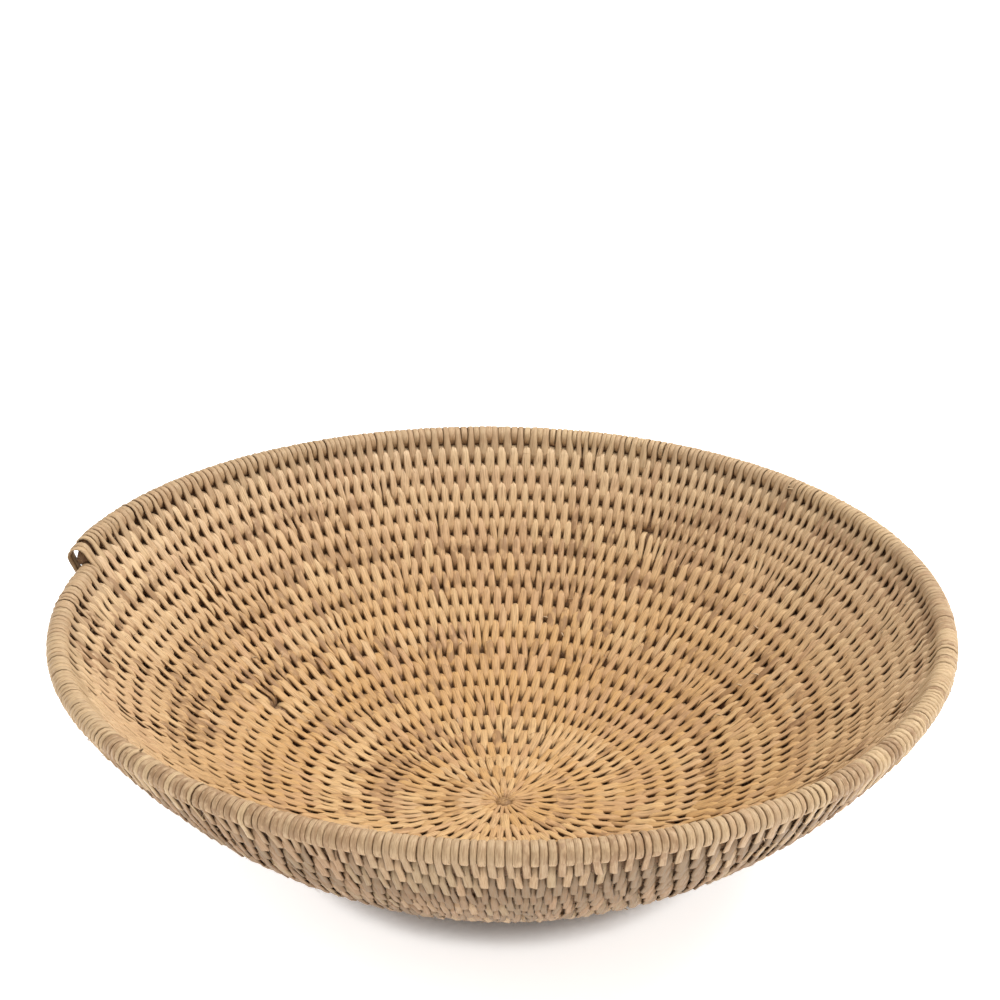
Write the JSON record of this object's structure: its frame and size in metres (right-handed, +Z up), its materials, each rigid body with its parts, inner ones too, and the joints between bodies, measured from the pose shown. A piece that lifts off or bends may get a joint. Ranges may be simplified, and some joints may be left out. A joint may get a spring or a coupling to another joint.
{
  "type": "coiled winnowing basket",
  "caption": "Wide shallow bowl-shaped basket of a stitched spiral coil, with a tightly wrapped rim and a small strip loop where the coil ends.",
  "frame": {"origin": "middle of the flat underside, on the starting knot", "axes": "+Z up out of the bowl's mouth; angles run anticlockwise from +X, and the coil ends on the rim 167 degrees from +X"},
  "size_m": [0.4547, 0.4377, 0.1366],
  "materials": {
    "vine_rod": "rough fibrous vine",
    "root_strip": "dry split root, matte to satin",
    "root_strip_rim": "dry split root, handled and greyer",
    "start_knot": "dry split root, tightly bound"
  },
  "bodies": {
    "root": {"coil_start_knot": "start_knot", "foundation_turn_01": "vine_rod", "foundation_turn_02": "vine_rod", "foundation_turn_03": "vine_rod", "foundation_turn_04": "vine_rod", "foundation_turn_05": "vine_rod", "foundation_turn_06": "vine_rod", "foundation_turn_07": "vine_rod", "foundation_turn_08": "vine_rod", "foundation_turn_09": "vine_rod", "foundation_turn_10": "vine_rod", "foundation_turn_11": "vine_rod", "foundation_turn_12": "vine_rod", "foundation_turn_13": "vine_rod", "foundation_turn_14": "vine_rod", "foundation_turn_15": "vine_rod", "foundation_turn_16": "vine_rod", "foundation_turn_17": "vine_rod", "foundation_turn_18": "vine_rod", "foundation_turn_19": "vine_rod", "foundation_turn_20": "vine_rod", "foundation_turn_21": "vine_rod", "foundation_turn_22": "vine_rod", "foundation_turn_23": "vine_rod", "stitching_turn_01": "root_strip", "stitching_turn_02": "root_strip", "stitching_turn_03": "root_strip", "stitching_turn_04": "root_strip", "stitching_turn_05": "root_strip", "stitching_turn_06": "root_strip", "stitching_turn_07": "root_strip", "stitching_turn_08": "root_strip", "stitching_turn_09": "root_strip", "stitching_turn_10": "root_strip", "stitching_turn_11": "root_strip", "stitching_turn_12": "root_strip", "stitching_turn_13": "root_strip", "stitching_turn_14": "root_strip", "stitching_turn_15": "root_strip", "stitching_turn_16": "root_strip", "stitching_turn_17": "root_strip", "stitching_turn_18": "root_strip", "stitching_turn_19": "root_strip", "stitching_turn_20": "root_strip", "stitching_turn_21": "root_strip", "stitching_turn_22": "root_strip", "stitching_turn_23": "root_strip_rim", "coil_end_taper": "vine_rod", "coil_end_binding": "root_strip_rim", "rim_loop_first_strip": "root_strip_rim", "rim_loop_second_strip": "root_strip_rim"}
  },
  "joints": []
}
